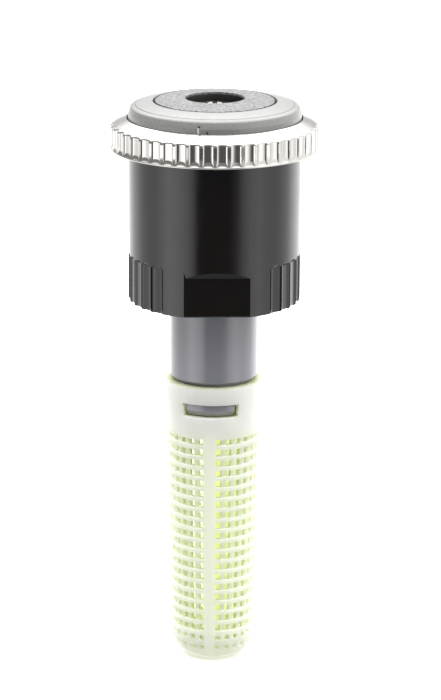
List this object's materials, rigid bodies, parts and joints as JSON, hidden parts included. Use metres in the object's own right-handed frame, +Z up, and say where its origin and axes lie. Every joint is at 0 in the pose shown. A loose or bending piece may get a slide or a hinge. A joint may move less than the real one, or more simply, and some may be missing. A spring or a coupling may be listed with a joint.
{
  "type": "rotary pop-up sprinkler nozzle",
  "caption": "Rotary pop-up sprinkler nozzle: threaded body, knurled arc ring, sprung rotor head with a throttle screw, and a clip-on filter basket below the stem.",
  "frame": {"origin": "centre of the flat end of the filter, the lowest point, on the nozzle's axis", "axes": "+Z up the axis from the filter to the rotor head, -Y out of the front wrench flat"},
  "size_m": [0.0272, 0.0272, 0.0758],
  "materials": {
    "black_plastic": "moulded, semi-gloss black",
    "dark_grey_plastic": "fine grained dark grey",
    "light_grey_plastic": "moulded, satin light grey",
    "stem_grey_plastic": "moulded, semi-gloss mid grey",
    "pale_green_plastic": "translucent pale yellow-green, satin",
    "white_acetal": "natural white acetal",
    "chrome_plate": "bright chrome plate on plastic",
    "stainless_steel": "drawn stainless steel",
    "black_rubber": "moulded nitrile rubber"
  },
  "bodies": {
    "body": {"nozzle_base": "black_plastic", "stem": "stem_grey_plastic", "riser_gasket": "black_rubber", "stem_oring": "black_rubber", "nozzle_oring": "black_rubber", "throttle_seat": "white_acetal", "arc_core": "black_plastic", "return_spring": "stainless_steel"},
    "filter": {"filter_basket": "pale_green_plastic"},
    "arc_ring": {"arc_ring": "chrome_plate", "ring_friction_oring": "black_rubber"},
    "arc_nozzle": {"arc_nozzle": "white_acetal"},
    "carriage": {"spring_cup": "white_acetal"},
    "shaft": {"shaft": "stainless_steel", "brake_stator": "white_acetal", "stator_clip": "stainless_steel", "thrust_washer": "white_acetal", "spring_clip": "stainless_steel", "shaft_end_clip": "stainless_steel"},
    "head": {"deflector_plate": "black_plastic", "head_ring": "light_grey_plastic", "top_dial": "dark_grey_plastic", "brake_cover": "dark_grey_plastic", "cover_oring": "black_rubber", "lower_bush": "white_acetal", "upper_bush": "white_acetal", "shaft_seal": "black_rubber", "seal_retainer": "stainless_steel"},
    "plug": {"throttle_plug": "white_acetal"}
  },
  "joints": [
    {"name": "pop_up", "type": "slide", "parent": "body", "child": "carriage", "axis": [0, 0, 1], "range_m": [0, 0.0055], "stiffness_N_per_m": 90, "deforming": ["return_spring"]},
    {"name": "throttle_turn", "type": "hinge", "parent": "carriage", "child": "shaft", "pos_m": [0, 0, 0.059], "axis": [0, 0, 1], "range_deg": [-720, 0]},
    {"name": "throttle_travel", "type": "slide", "parent": "carriage", "child": "plug", "axis": [0, 0, 1], "range_m": [0, 0.002]},
    {"name": "head_spin", "type": "hinge", "parent": "shaft", "child": "head", "pos_m": [0, 0, 0.071], "axis": [0, 0, 1], "continuous": true},
    {"name": "arc_turn", "type": "hinge", "parent": "body", "child": "arc_ring", "pos_m": [0, 0, 0.07], "axis": [0, 0, 1], "range_deg": [-120, 0]},
    {"name": "arc_climb", "type": "slide", "parent": "arc_ring", "child": "arc_nozzle", "axis": [0, 0, 1], "range_m": [-0.0003, 0]},
    {"name": "filter_release", "type": "slide", "parent": "body", "child": "filter", "axis": [0, 0, -1], "range_m": [0, 0.04]}
  ],
  "couplings": [
    {"joint": "throttle_turn", "follows": "throttle_travel", "rad_per_m": -6283.2},
    {"joint": "arc_climb", "follows": "arc_turn", "m_per_rad": 0.00013003}
  ]
}
